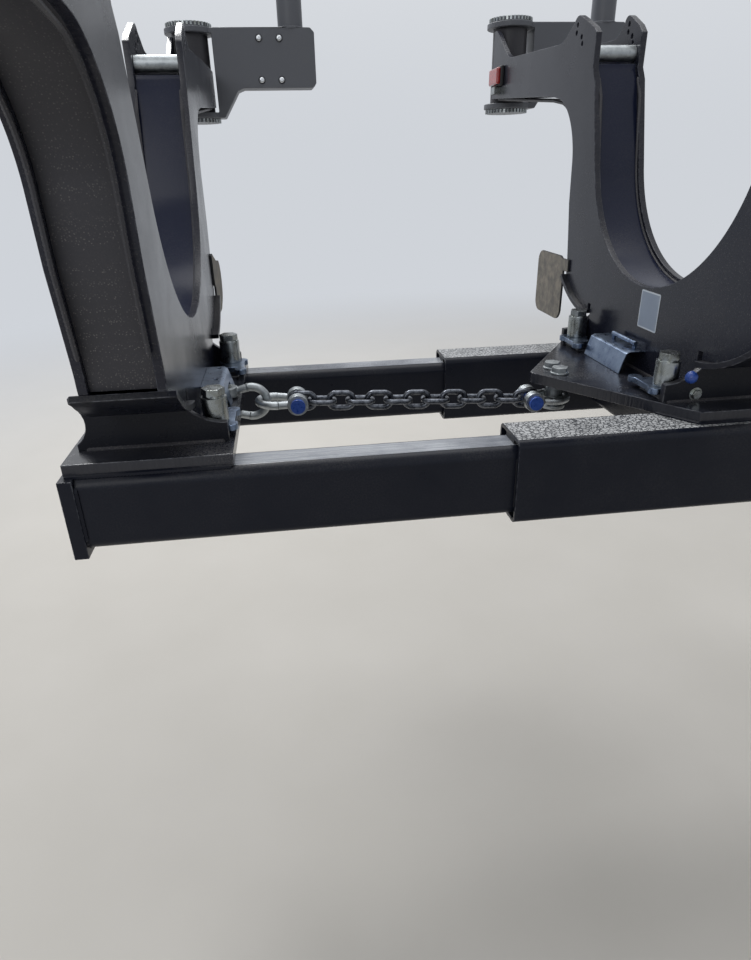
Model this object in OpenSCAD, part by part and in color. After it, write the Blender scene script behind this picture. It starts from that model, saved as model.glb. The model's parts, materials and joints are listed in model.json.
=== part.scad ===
// Extending rear load frame of a forestry forwarder: two telescoping rails,
// a bunk on the fixed rails, a bunk on the sliding rails, four swinging
// stake arms and the chain that ties the sliding end to the fixed one.
// +X points to the front of the machine and +Z up. The origin is the centre
// of the mounting plate's front face.

/* [Outer rails] */
// Distance from the mounting face back to the mouth of the outer rails
outer_len = 1300; // [1200:10:1500]
// Height of an outer rail
outer_h = 180; // [176:1:190]
// Width of an outer rail
outer_w = 122; // [118:1:130]
// Wall of an outer rail
outer_wall = 8; // [6:0.5:9]
// Corner radius of an outer rail
outer_r = 16; // [12:1:20]
// Distance between the rails' centre lines
rail_gauge = 622; // [600:1:640]

/* [Inner rails] */
// Length of an inner rail
inner_len = 1270; // [1150:10:1290]
// Height of an inner rail
inner_h = 149; // [140:1:152]
// Width of an inner rail
inner_w = 92; // [86:1:96]
// Wall of an inner rail
inner_wall = 8; // [6:0.5:10]
// Corner radius of an inner rail
inner_r = 22; // [16:1:26]
// Length of inner rail that shows behind the outer rail
exposed_len = 831; // [800:1:850]
// Running gap under an inner rail
running_gap = 5; // [5:0.5:6]
// Length of a wear pad
pad_len = 80; // [60:5:120]

/* [Plates on the rails] */
// Thickness of the plate on an inner rail's rear end
end_plate_t = 27; // [16:1:30]
// Width of an end plate
end_plate_w = 106; // [98:1:130]
// Thickness of the bed plate under a bunk
bed_t = 25; // [20:1:26]
// Width of a bed plate across the machine
bed_w = 686; // [660:2:700]
// Length of the rear bed plate
rear_bed_len = 308; // [300:2:320]
// Length of the front bed plate without its tongue
front_bed_len = 250; // [240:2:300]
// Half the angle of the tongue's tip
tongue_angle = 56; // [54:1:60]
// Thickness of the mounting plate
mount_t = 20; // [16:1:30]
// Height of the mounting plate
mount_h = 240; // [220:5:280]
// Radius of a mounting bolt hole
mount_hole_r = 11; // [9:0.5:13]

/* [Bunks] */
// Depth of a bunk from its rear face to its front face
bunk_depth = 138; // [130:1:150]
// Thickness of a bunk's two plates
plate_t = 16; // [12:1:20]
// Thickness of the webs between the plates
web_t = 8; // [6:1:12]
// How far the webs lie in from the plates' edges
web_inset = 12; // [8:1:18]
// Height of the flange's inner end above the bed
flange_low = 86; // [80:1:92]
// Height of a foot plate
foot_h = 104; // [98:1:112]
// Radius of the cradle's round bottom
cradle_r = 340; // [330:1:350]
// Height of the cradle's lowest point above the bed
cradle_low = 193; // [186:1:200]
// Rear face of the rear bunk, behind the mouth of the outer rails
rear_bunk_back = 760; // [750:1:770]
// Rear face of the front bunk, ahead of the mouth of the outer rails
front_bunk_ahead = 407; // [400:1:420]
// Thickness of the flange under a bunk
flange_t = 12; // [10:1:16]
// How far the flange stands out past the plates
flange_lip = 15; // [10:1:20]
// Thickness of a foot plate
foot_t = 16; // [12:1:20]

/* [Swing arms] */
// Distance of a pivot from the centre line
pivot_y = 1335; // [1320:5:1350]
// Radius of the fixed pivot tube
pivot_r = 62; // [60:1:66]
// Radius of a swing arm's lug
lug_r = 85; // [80:1:90]
// Radius of the pivot pin
pin_r = 45; // [35:1:50]
// Height of the fixed pivot tube
pivot_h = 240; // [230:1:250]
// Height of the pivot tube's foot above the bed
pivot_low = 668; // [660:1:676]
// Thickness of a swing arm's lug
lug_t = 18; // [14:1:24]
// Distance from the pivot to the stake
stake_out = 355; // [340:1:370]
// Reach of a swing arm from its pivot
arm_reach = 436; // [430:1:470]
// Width of a swing arm
arm_w = 90; // [80:1:100]
// Outer radius of a stake
stake_r = 44; // [38:0.5:46]
// Wall of a stake
stake_wall = 6; // [4:0.5:10]
// Height of a stake above its arm
stake_h = 1200; // [900:10:1400]

/* [Chain] */
// Diameter of the chain's wire
wire_d = 13; // [11:0.5:13]
// Inner length of a link
link_len = 46; // [45:0.5:47]
// Outer width of a link
link_w = 49; // [49:0.5:52]
// Number of links
link_count = 13; // [13:2:13]
// Gap between parts that bear on each other
touch_gap = 0.3; // [0.2:0.05:0.4]
// Diameter of a shackle's bow
bow_d = 19; // [17:0.5:20]
// Radius of a shackle's pin
shackle_pin_r = 11; // [10:0.5:11.5]
// Length of a shackle from its pin's centre to the inside of its bow
shackle_len = 80; // [76:1:84]
// Inner width of a shackle's bow
bow_w = 51; // [48:1:54]
// Inner width between a shackle's eyes
jaw_w = 32; // [30:1:34]
// Outer radius of a shackle's eye
eye_r = 24; // [20:1:26]
// Thickness of a shackle's eye
eye_t = 22; // [21:0.5:24]
// Slope of the taut chain, down towards the front, in degrees
chain_slope = 3; // [2.6:0.1:3.2]
// Centre of the rear shackle's bow, behind the mouth of the outer rails
ring_back = 520; // [516:1:524]
// Radius of the tongue's spool
spool_r = 21; // [18:1:24]

/* [Hidden] */
$fn = 48;
overlap = 1;
rail_y = rail_gauge / 2;
inner_low = outer_wall + running_gap;
inner_top = inner_low + inner_h;
rear_place = [-rear_bunk_back, inner_top + bed_t];
front_place = [front_bunk_ahead, outer_h + bed_t];
navy = "#20242f";
zinc = "#b9b08a";
steel = "#9aa0a6";

// Frames of reference and extrusions

// Measures X from the outer rails' mouth and Z from their underside
module at_mouth() {
  translate([-outer_len, 0, -outer_h / 2]) children();
}

module both_sides() {
  children();
  mirror([0, 1, 0]) children();
}

// Measures X from a bunk's rear face and Z from its bed
module at_bunk(place) {
  at_mouth() translate([place[0], 0, place[1]]) children();
}

// A plate across the machine: 2D x is Y, 2D y is Z
module cross_plate(x, t) {
  translate([x, 0, 0]) rotate([90, 0, 90]) linear_extrude(t) children();
}

// A plate along the machine: 2D x is X, 2D y is Z
module long_plate(y, t) {
  translate([0, y + t, 0]) rotate([90, 0, 0]) linear_extrude(t) children();
}

function arc(c, r, a0, a1, n) = [
  for (i = [0 : n]) c + r * [cos(a0 + (a1 - a0) * i / n), sin(a0 + (a1 - a0) * i / n)]
];

function unit(v) = v / norm(v);
function left_of(v) = [-v[1], v[0]];

// Mean direction of an open path at point i
function heading(path, i) = unit(
  (i == 0 ? [0, 0] : unit(path[i] - path[i - 1]))
  + (i == len(path) - 1 ? [0, 0] : unit(path[i + 1] - path[i]))
);

function shifted(path, d) = [for (i = [0 : len(path) - 1]) path[i] + d * left_of(heading(path, i))];

function reversed(path) = [for (i = [len(path) - 1 : -1 : 0]) path[i]];

// A band of thickness t that runs beside an open path, on its left from d on
module band(path, d, t) {
  polygon(concat(shifted(path, d), reversed(shifted(path, d + t))));
}

module rounded_rect(w, h, r) {
  union() {
    translate([r - w / 2, -h / 2]) square([w - 2 * r, h]);
    translate([-w / 2, r - h / 2]) square([w, h - 2 * r]);
    for (x = [-1, 1], y = [-1, 1]) translate([x * (w / 2 - r), y * (h / 2 - r)]) circle(r);
  }
}

// A rectangular tube along X with round corners, its underside at z = 0
module box_tube(len, w, h, r, wall) {
  translate([0, 0, h / 2]) rotate([90, 0, 90]) linear_extrude(len) difference() {
    rounded_rect(w, h, r);
    rounded_rect(w - 2 * wall, h - 2 * wall, r - wall);
  }
}

// Rails

module outer_rail(side) {
  color(navy) at_mouth() translate([0, side * rail_y, 0])
    box_tube(outer_len - mount_t, outer_w, outer_h, outer_r, outer_wall);
}

module inner_rail(side) {
  color(navy) at_mouth() translate([-exposed_len, side * rail_y, inner_low])
    box_tube(inner_len, inner_w, inner_h, inner_r, inner_wall);
}

// Sliding pads round an inner rail, fixed in the outer rail's mouth
module pad_ring(gap) {
  side_gap = (outer_w - inner_w) / 2 - outer_wall;
  top_gap = outer_h - outer_wall - inner_top;
  pad_w = inner_w - 2 * inner_r;
  pad_h = inner_h - 2 * inner_r;
  translate([0, -pad_w / 2, outer_wall]) cube([pad_len, pad_w, running_gap - gap]);
  translate([0, -pad_w / 2, inner_top + gap]) cube([pad_len, pad_w, top_gap - gap]);
  for (s = [-1, 1])
    translate([0, s * (inner_w / 2 + (side_gap + gap) / 2) - (side_gap - gap) / 2, inner_low + inner_r])
      cube([pad_len, side_gap - gap, pad_h]);
}

module mouth_pads() {
  color("#d8d4c8") at_mouth() for (s = [-1, 1])
    translate([2 * touch_gap, s * rail_y, 0]) pad_ring(touch_gap);
}

// Pads fixed to the inner rails' front ends, which bear on the outer rails
module inner_pads() {
  top_gap = outer_h - outer_wall - inner_top;
  pad_w = inner_w - 2 * inner_r;
  color("#d8d4c8") at_mouth() for (s = [-1, 1])
    translate([inner_len - exposed_len - pad_len, s * rail_y - pad_w / 2, 0]) {
      translate([0, 0, inner_top]) cube([pad_len, pad_w, top_gap - touch_gap]);
      translate([0, 0, outer_wall + touch_gap]) cube([pad_len, pad_w, running_gap - touch_gap]);
    }
}

mount_w = rail_gauge + outer_w + 96;
mount_hole_y = rail_y + outer_w / 2 + 26;
mount_hole_z = mount_h / 2 - 24;

module mounting_plate() {
  color(navy) difference() {
    rotate([90, 0, 90]) translate([0, 0, -mount_t]) linear_extrude(mount_t) difference() {
      rounded_rect(mount_w, mount_h, 16);
      rounded_rect(rail_gauge - outer_w - 120, mount_h - 100, 30);
      for (s = [-1, 1]) translate([s * rail_y, 0])
        rounded_rect(inner_w - 20, inner_h - 40, 20);
    }
    for (y = [-1, 1], z = [-1, 1])
      translate([-mount_t - overlap, y * mount_hole_y, z * mount_hole_z]) rotate([0, 90, 0])
        cylinder(r = mount_hole_r, h = mount_t + 2 * overlap);
  }
}

cross_w = 120;
cross_h = 100;
cross_low = 30;
cross_rear = front_bunk_ahead + 33;
cross_front = outer_len - 330;

module cross_members() {
  inside = rail_gauge - outer_w;
  color(navy) at_mouth() for (x = [cross_rear, cross_front])
    translate([x, -inside / 2, cross_low]) rotate([0, 0, 90]) translate([0, -cross_w / 2, 0])
      box_tube(inside, cross_w, cross_h, 12, 8);
}

module end_plates() {
  color(navy) at_mouth() for (s = [-1, 1])
    translate([-exposed_len - end_plate_t, s * rail_y - end_plate_w / 2, 0])
      cube([end_plate_t, end_plate_w, inner_top]);
}

// Bunks: the outlines are in Y and in height above the bed

half_gap = bunk_depth / 2 - plate_t;
tube_meet = pivot_y - sqrt(pow(pivot_r, 2) - pow(half_gap, 2)) - touch_gap;
foot_y = 260;
foot_out = foot_y + foot_t;
flange_r = 300;
flange_c = [250, flange_low + flange_r];
flange_start = -acos((foot_out - flange_c[0]) / flange_r);
cradle_z = cradle_low + cradle_r;
flank_c = [671, 443];
flank_r = 190;
outrigger_in = [700, 639];

// Height of the outrigger's underside where it meets the pivot tube
outrigger_end_z = pivot_low + 14;

// The lower outer edge above the flange, from an angle on
function flange_edge(a0) = arc(flange_c, flange_r, a0, -49, 12);

// The outer edge from the flange's end up to the outrigger's underside
function flank_edge() = concat(
  [flange_edge(-90)[12], [449, 196], [462, 275], [476, 353]],
  arc(flank_c, flank_r, 180, 104, 16),
  [outrigger_in]
);

// The inner edge from the cradle's round bottom up to its straight lip
function cradle_edge(a0) = concat(arc([0, cradle_z], cradle_r, a0, -14, 24), [[385, 648], [404, 677]]);

rear_ear = concat([[404, 756], [425, 771], [494, 801]], arc([528, 780], 32, 112, 36, 6));
rear_top = concat(
  arc([650, 874], 110, 236, 272, 6),
  [[1060, 788]],
  arc([1070, 939], 150, 273, 304, 6),
  [[1272, 894], [tube_meet, 898]]
);

front_ear = concat([[404, 756], [425, 775], [476, 802]], arc([490, 786], 20, 104, 14, 6));
front_top = concat(arc([565, 824], 62, 222, 270, 6), [[1070, 788], [tube_meet, 796]]);

function bunk_half(ear, top) = concat(
  [[0, 0], [foot_y, 0], [foot_y, foot_h], [foot_out, foot_h]],
  flange_edge(flange_start),
  [for (i = [1 : len(flank_edge()) - 1]) flank_edge()[i]],
  [[tube_meet, outrigger_end_z]],
  reversed(top),
  reversed(ear),
  reversed(cradle_edge(-90))
);

function mirrored(path) = reversed([for (p = path) [-p[0], p[1]]]);
function without_ends(path) = [for (i = [1 : len(path) - 2]) path[i]];

// Pairs of holes in an ear, each given by its centre and its angle
module ear_slots(slots) {
  for (p = slots)
    translate([p[0], p[1]]) rotate(p[2]) for (z = [-9, 9]) translate([0, z]) circle(6);
}

module bunk_plate(ear, top, slots) {
  difference() {
    polygon(concat(bunk_half(ear, top), without_ends(mirrored(bunk_half(ear, top)))));
    ear_slots(slots);
    mirror([1, 0]) ear_slots(slots);
  }
}

module rear_plate(place) {
  color(navy) at_bunk(place) cross_plate(0, plate_t)
    bunk_plate(rear_ear, rear_top, [[532, 782, 8], [494, 751, -24]]);
}

module front_plate(place) {
  color(navy) at_bunk(place) cross_plate(bunk_depth - plate_t, plate_t)
    bunk_plate(front_ear, front_top, [[482, 776, 4], [454, 746, -24]]);
}

module between_plates() {
  cross_plate(plate_t, bunk_depth - 2 * plate_t) children();
}

cross_pin = [436, 713, 19];

module cradle_web(place) {
  lip_end = [404, cross_pin[1] - cross_pin[2] - 6];
  edge = concat([[-lip_end[0], lip_end[1]]], mirrored(cradle_edge(-90)), cradle_edge(-87), [lip_end]);
  color("#232a40") at_bunk(place) between_plates() band(edge, -web_inset - web_t, web_t);
}

module outer_webs(place) {
  web_end = pivot_y - pivot_r - touch_gap;
  rise = (outrigger_end_z - outrigger_in[1]) / (tube_meet - outrigger_in[0]);
  edge = concat(flank_edge(), [[web_end, outrigger_in[1] + rise * (web_end - outrigger_in[0])]]);
  color(navy) at_bunk(place) both_sides() between_plates() band(edge, web_inset, web_t);
}

module bunk_flange(place) {
  color(navy) at_bunk(place) both_sides() cross_plate(-flange_lip, bunk_depth + 2 * flange_lip)
    band(flange_edge(flange_start), -flange_t, flange_t);
}

// Bed plates and feet

ring_x = -ring_back;
ring_z = inner_top + bed_t / 2;
bow_r = (bow_w + bow_d) / 2;
bow_c = shackle_len - bow_w / 2;
leg_in_eye = 6;
leg_in_bow = 4;
ring_pin_x = ring_x - bow_c;
pitch = link_len - touch_gap;
link_seat = link_len / 2 - shackle_pin_r - touch_gap;
chain_pin_at = bow_r - bow_d - touch_gap + bow_c + bow_r;
front_pin_at = chain_pin_at + 2 * link_seat + (link_count - 1) * pitch;
front_pin_x = ring_x + front_pin_at * cos(chain_slope);
front_pin_z = ring_z - front_pin_at * sin(chain_slope);
spool_x = front_pin_x + shackle_len - spool_r - touch_gap;
tongue_tip = 62;
bed_overhang = 91;

// The pads that a bunk's clamps stand on
module clamp_pads(place, dir) {
  at_bunk(place) both_sides() at_face(dir) translate([-lobe_off + 8, bolt_y - 62, -overlap])
    cube([lobe_off - 24, 82, pad_t + overlap]);
}

module bolt_holes(place, dir) {
  at_bunk(place) both_sides() at_face(dir) translate([-bolt_off, bolt_y, -bed_t - overlap])
    cylinder(r = bolt_r + touch_gap, h = bed_t + pad_t + 2 * overlap);
}

module rear_bed_plate() {
  color(navy) difference() {
    union() {
      at_mouth() translate([-rear_bunk_back - bed_overhang, -bed_w / 2, inner_top])
        cube([rear_bed_len, bed_w, bed_t]);
      clamp_pads(rear_place, 1);
    }
    at_mouth() translate([ring_pin_x, 0, inner_top - overlap])
      cylinder(r = shackle_pin_r + touch_gap, h = bed_t + 2 * overlap);
    bolt_holes(rear_place, 1);
  }
}

module front_bed_plate() {
  tip_x = spool_x - tongue_tip;
  root_x = tip_x + bed_w / 2 / tan(tongue_angle);
  color(navy) difference() {
    union() {
      at_mouth() translate([0, 0, outer_h]) linear_extrude(bed_t) polygon([
        [tip_x, -6], [tip_x, 6], [root_x, bed_w / 2], [root_x + front_bed_len, bed_w / 2],
        [root_x + front_bed_len, -bed_w / 2], [root_x, -bed_w / 2]
      ]);
      clamp_pads(front_place, -1);
    }
    bolt_holes(front_place, -1);
  }
}

bolt_y = 232;
bolt_off = 44;
bolt_r = 15;
sleeve_r = 25;
sleeve_h = 54;
pad_t = 12;
clamp_t = 13;
washer_r = 21;
washer_t = 3;
hex_r = 23;
head_h = 14;

foot_back = 76;
notch_h = 80;
notch_depth = 22;
flare_r = 102;
flare_out = 69;
flare_low = 39;

// Profile of a foot plate, from the bunk's plain face (x = 0) towards its
// bolted face (x = bunk_depth): a round notch on one side and a hollow flare
// on the other
module foot_profile() {
  notch_r = (pow(notch_h / 2, 2) + pow(notch_depth, 2)) / (2 * notch_depth);
  notch_a = asin(notch_h / 2 / notch_r);
  flare_c = [bunk_depth + flare_out, flare_low + flare_r];
  flare_a = asin((flare_c[1] - foot_h) / flare_r);
  polygon(concat(
    [[-foot_back, 0]],
    arc([notch_depth - foot_back - notch_r, foot_h / 2], notch_r, -notch_a, notch_a, 10),
    [[-foot_back, foot_h]],
    arc(flare_c, flare_r, 180 + flare_a, 268, 10),
    [[bunk_depth + flare_out, flare_low], [bunk_depth + flare_out, 0]]
  ));
}

module feet(place, turned) {
  color(navy) at_bunk(place) both_sides()
    translate([turned ? bunk_depth : 0, 0, 0]) mirror([turned ? 1 : 0, 0, 0])
      long_plate(foot_y, foot_t) foot_profile();
}

// Pivots and cross pins

module pivots(place) {
  color(navy) at_bunk(place) both_sides()
    translate([bunk_depth / 2, pivot_y, pivot_low]) difference() {
      cylinder(r = pivot_r, h = pivot_h);
      translate([0, 0, -overlap]) cylinder(r = pin_r + touch_gap, h = pivot_h + 2 * overlap);
    }
}

module cross_pins(place) {
  color(steel) at_bunk(place) both_sides()
    translate([plate_t, cross_pin[0], cross_pin[1]]) rotate([0, 90, 0])
      cylinder(r = cross_pin[2], h = bunk_depth - 2 * plate_t);
}

// Clamps between a bunk and its bed

lobe_r = 15;
lobe_off = 71;
lobe_in = 156;
lobe_out = 242;
lobe_waist = 16;
body_in = 170;

// Measures X from a bunk's face, away from the bunk where X is below zero
module at_face(dir) {
  translate([dir > 0 ? bunk_depth : 0, 0, 0]) mirror([dir > 0 ? 1 : 0, 0, 0]) children();
}

// A plate round the bolt, with a bar across its outer side that ends in two
// round lobes
module clamp_plate() {
  difference() {
    linear_extrude(clamp_t) union() {
      for (y = [lobe_in, lobe_out]) translate([-lobe_off, y]) circle(lobe_r);
      translate([-lobe_off - lobe_waist / 2, lobe_in]) square([lobe_waist, lobe_out - lobe_in]);
      translate([-lobe_off, body_in]) square([lobe_off - bolt_off + lobe_r, bolt_y - body_in]);
      translate([-bolt_off, bolt_y - 3]) circle(29);
    }
    translate([-bolt_off, bolt_y, -overlap])
      cylinder(r = bolt_r + touch_gap, h = clamp_t + 2 * overlap);
  }
}

module clamp_plates(place, dir) {
  color(zinc) at_bunk(place) both_sides() at_face(dir) translate([0, 0, pad_t]) clamp_plate();
}

module clamp_bolt() {
  under = bed_t + pad_t + clamp_t;
  translate([0, 0, -under]) cylinder(r = bolt_r, h = under + overlap);
  cylinder(r = sleeve_r, h = sleeve_h);
  translate([0, 0, sleeve_h]) cylinder(r = washer_r, h = washer_t);
  translate([0, 0, sleeve_h + washer_t]) cylinder(r = hex_r, h = head_h, $fn = 6);
}

module clamp_bolts(place, dir) {
  color(zinc) at_bunk(place) both_sides() at_face(dir)
    translate([-bolt_off, bolt_y, pad_t + clamp_t]) clamp_bolt();
}

// Spool under the tongue

module spool() {
  color(steel) at_mouth() translate([spool_x, 0, 0]) {
    low = front_pin_z - bow_d / 2 - 8;
    translate([0, 0, low]) cylinder(r = spool_r, h = outer_h - low);
    translate([0, 0, low - 8]) cylinder(r = spool_r + 8, h = 8);
    for (y = [-24, 24]) translate([0, y, front_place[1]]) {
      cylinder(r = 22, h = 4);
      translate([0, 0, 4]) cylinder(r = 20, h = 12, $fn = 6);
    }
  }
}

// A bow shackle: pin along y at the origin, bow towards +x, and straight legs
// that run into the bow at its tangent
module shackle_body() {
  eye_y = (jaw_w + eye_t) / 2;
  leg_from = eye_r - leg_in_eye;
  reach = norm([bow_c - leg_from, eye_y]);
  leg_len = sqrt(pow(reach, 2) - pow(bow_r, 2)) + leg_in_bow;
  leg_a = asin(bow_r / reach) - atan2(eye_y, bow_c - leg_from);
  difference() {
    union() {
      translate([bow_c, 0, 0]) rotate([0, 0, -90 - leg_a]) rotate_extrude(angle = 180 + 2 * leg_a)
        translate([bow_r, 0]) circle(r = bow_d / 2, $fn = 24);
      for (s = [-1, 1]) {
        translate([leg_from, s * eye_y, 0]) rotate([0, 0, s * leg_a]) rotate([0, 90, 0])
          cylinder(d = bow_d - 1, h = leg_len, $fn = 24);
        translate([0, s * eye_y + eye_t / 2, 0]) rotate([90, 0, 0]) cylinder(r = eye_r, h = eye_t);
      }
    }
    translate([0, eye_y + eye_t, 0]) rotate([90, 0, 0])
      cylinder(r = shackle_pin_r + touch_gap, h = 2 * (eye_y + eye_t));
  }
}

module shackle_pin() {
  half = jaw_w / 2 + eye_t;
  head_t = 10;
  end_out = 3;
  translate([0, half + end_out, 0]) rotate([90, 0, 0]) cylinder(r = shackle_pin_r, h = 2 * half + end_out);
  translate([0, -half, 0]) rotate([90, 0, 0]) cylinder(r = eye_r - 7, h = head_t);
}

module ring_shackle_place() {
  at_mouth() translate([ring_pin_x, 0, ring_z]) rotate([90, 0, 0]) children();
}

module along_chain(d) {
  at_mouth() translate([ring_x, 0, ring_z]) rotate([0, chain_slope, 0]) translate([d, 0, 0]) children();
}

module chain_link() {
  mid_r = (link_w - wire_d) / 2;
  half = (link_len + wire_d) / 2 - mid_r;
  for (s = [-1, 1]) {
    translate([s * half, 0, 0]) rotate([0, 0, s * 90 - 90]) rotate([0, 0, -90])
      rotate_extrude(angle = 180) translate([mid_r, 0]) circle(r = wire_d / 2, $fn = 16);
    translate([-half, s * mid_r, 0]) rotate([0, 90, 0]) cylinder(d = wire_d, h = 2 * half, $fn = 16);
  }
}

module chain_links() {
  color("#3a3f47") for (i = [0 : link_count - 1])
    along_chain(chain_pin_at + link_seat + i * pitch) rotate([i % 2 == 0 ? 90 : 0, 0, 0]) chain_link();
}

// Folded covers between a bunk's bolts, and the strap on the front one's top

front_cover_y = [-60, 134];
rear_cover_y = [-77, 80];
cover_fold = [[-58, 0], [-52, 24], [-45, 46], [-39, 50], [0, 50]];
cover_t = 3;
cover_notch = [54, 31];
cover_hole_x = -29;
strap_x = -17;
strap = [-36, 70, 5];

module folded_cover(ends) {
  long_plate(ends[0], ends[1] - ends[0]) band(cover_fold, 0, cover_t);
}

module joint_cover() {
  color(zinc) at_bunk(front_place) folded_cover(front_cover_y);
}

// The rear cover is open at its foot for the ring shackle
module rear_joint_cover() {
  color(zinc) at_bunk(rear_place) at_face(1) difference() {
    folded_cover(rear_cover_y);
    translate([cover_fold[0][0] - 20, -cover_notch[0] / 2, -overlap])
      cube([40, cover_notch[0], cover_notch[1] + overlap]);
    for (y = [-28, 66]) translate([cover_hole_x, y, cover_fold[4][1] - overlap])
      cylinder(r = 5, h = cover_t + 2 * overlap);
  }
}

module cover_strap() {
  color(zinc) at_bunk(front_place) translate([strap_x, strap[0], cover_fold[4][1] + cover_t]) {
    for (y = [0, strap[1] - strap[0]]) translate([0, y, 0]) cylinder(r = strap[2], h = 16);
    translate([0, -strap[2], 14]) rotate([-90, 0, 0])
      cylinder(r = strap[2], h = strap[1] - strap[0] + 2 * strap[2]);
  }
}

// Marker panels on the left side and lamps

panel_t = 6;
panel_y = [458, 664];
panel_z = [20, 207];

module marker_panel() {
  mid = [(panel_y[0] + panel_y[1]) / 2, (panel_z[0] + panel_z[1]) / 2];
  color("#4a4a46") at_bunk(front_place) cross_plate(-panel_t, panel_t) {
    translate(mid) rounded_rect(panel_y[1] - panel_y[0], panel_z[1] - panel_z[0], 34);
    translate([425, panel_z[1] - 40]) square([70, 34]);
  }
}

module rear_panel() {
  color("#4a4a46") at_bunk(rear_place) cross_plate(bunk_depth, panel_t) polygon(concat(
    [[458, 100], [458, 180], [436, 190], [436, 266], [452, 270], [540, 242]],
    arc([588, 176], 62, 68, -70, 10),
    [[560, 100]]
  ));
}

lamp_y = 1215;
lamp_z = 745;
lamp_deep = 26;

module marker_lamps() {
  color("#a01818") at_bunk(front_place) both_sides() cross_plate(-lamp_deep, lamp_deep)
    translate([lamp_y, lamp_z]) rounded_rect(112, 62, 14);
}

// Swing arms

arm_low = 742;
arm_top = pivot_low + pivot_h + lug_t + touch_gap;
cap_r = 77;
cap_t = 14;
stake_floor = 20;
arm_root = pivot_r + 16;

// The box's underside rises from the lower lug to its full height
arm_rise = [arm_root + 20, arm_root + 75];

module arm_solid() {
  low_lug = pivot_low - lug_t - touch_gap;
  difference() {
    union() {
      for (z = [low_lug, pivot_low + pivot_h + touch_gap]) translate([0, 0, z]) {
        cylinder(r = lug_r, h = lug_t);
        translate([0, -arm_w / 2, 0]) cube([arm_root + overlap, arm_w, lug_t]);
      }
      translate([0, 0, low_lug]) cylinder(r = pin_r, h = arm_top - low_lug);
      translate([0, 0, low_lug - cap_t]) cylinder(r = cap_r, h = cap_t + overlap);
      translate([0, 0, arm_top - overlap]) cylinder(r = cap_r, h = cap_t + overlap);
      long_plate(-arm_w / 2, arm_w) polygon([
        [arm_root, low_lug], [arm_rise[0], low_lug],
        [arm_rise[1], arm_low - 8], [arm_rise[1] + 22, arm_low],
        [arm_reach - 14, arm_low], [arm_reach, arm_low + 14],
        [arm_reach, arm_top - 14], [arm_reach - 14, arm_top], [arm_root, arm_top]
      ]);
    }
    translate([stake_out, 0, arm_low + stake_floor]) cylinder(r = stake_r + touch_gap, h = arm_top);
  }
}

module arm(place, side) {
  color("#26282c") at_bunk(place) translate([bunk_depth / 2, side * pivot_y, 0]) arm_solid();
}

module stake(place, side) {
  color("#26282c") at_bunk(place)
    translate([bunk_depth / 2 + stake_out, side * pivot_y, arm_low + stake_floor + touch_gap])
    difference() {
      cylinder(r = stake_r, h = arm_top - arm_low - stake_floor + stake_h);
      translate([0, 0, stake_floor]) cylinder(r = stake_r - stake_wall, h = arm_top + stake_h);
    }
}

outer_rail(-1);  // outer_rail_right
outer_rail(1);  // outer_rail_left
mounting_plate();
cross_members();
mouth_pads();
front_bed_plate();
rear_plate(front_place);  // front_bunk_rear_plate
front_plate(front_place);  // front_bunk_front_plate
cradle_web(front_place);  // front_bunk_cradle_web
outer_webs(front_place);  // front_bunk_outer_webs
bunk_flange(front_place);  // front_bunk_flange
feet(front_place, true);  // front_bunk_feet
pivots(front_place);  // front_bunk_pivots
cross_pins(front_place);  // front_bunk_cross_pins
clamp_plates(front_place, -1);  // front_clamp_plates
clamp_bolts(front_place, -1);  // front_clamp_bolts
spool();
at_mouth() translate([front_pin_x, 0, front_pin_z]) color(steel) shackle_body();  // front_shackle
at_mouth() translate([front_pin_x, 0, front_pin_z]) color("#2f4fa0") shackle_pin();  // front_shackle_pin
joint_cover();
cover_strap();
marker_panel();
marker_lamps();
inner_rail(-1);  // inner_rail_right
inner_rail(1);  // inner_rail_left
inner_pads();
end_plates();
rear_bed_plate();
rear_plate(rear_place);  // rear_bunk_rear_plate
front_plate(rear_place);  // rear_bunk_front_plate
cradle_web(rear_place);  // rear_bunk_cradle_web
outer_webs(rear_place);  // rear_bunk_outer_webs
bunk_flange(rear_place);  // rear_bunk_flange
feet(rear_place, false);  // rear_bunk_feet
pivots(rear_place);  // rear_bunk_pivots
cross_pins(rear_place);  // rear_bunk_cross_pins
clamp_plates(rear_place, 1);  // rear_clamp_plates
clamp_bolts(rear_place, 1);  // rear_clamp_bolts
rear_joint_cover();
rear_panel();
ring_shackle_place() color(steel) shackle_body();  // ring_shackle
ring_shackle_place() color(zinc) shackle_pin();  // ring_shackle_pin
along_chain(chain_pin_at) rotate([0, 0, 180]) color(steel) shackle_body();  // chain_shackle
along_chain(chain_pin_at) color("#2f4fa0") shackle_pin();  // chain_shackle_pin
chain_links();
arm(front_place, -1);  // arm_front_right
stake(front_place, -1);  // stake_front_right
arm(front_place, 1);  // arm_front_left
stake(front_place, 1);  // stake_front_left
arm(rear_place, -1);  // arm_rear_right
stake(rear_place, -1);  // stake_rear_right
arm(rear_place, 1);  // arm_rear_left
stake(rear_place, 1);  // stake_rear_left
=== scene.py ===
# %% [markdown]
# The load frame at the rear end of a forestry forwarder
#
# The frame is a weldment of painted plate and square tube: rails that slide in
# rails, bunks that cradle the logs, and stake arms that swing outwards. The CAD
# model holds its construction, and this notebook gives it the finish that the
# eye meets: rounded plate edges, weld beads, bolts, and paint that has been
# outdoors. Lengths are in metres, in the CAD model's own frame: +X points to
# the front of the machine, +Y to its left and +Z up.

# %% Load the frame
import json
import math

import bmesh
import bpy
from mathutils import Matrix, Vector

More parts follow.
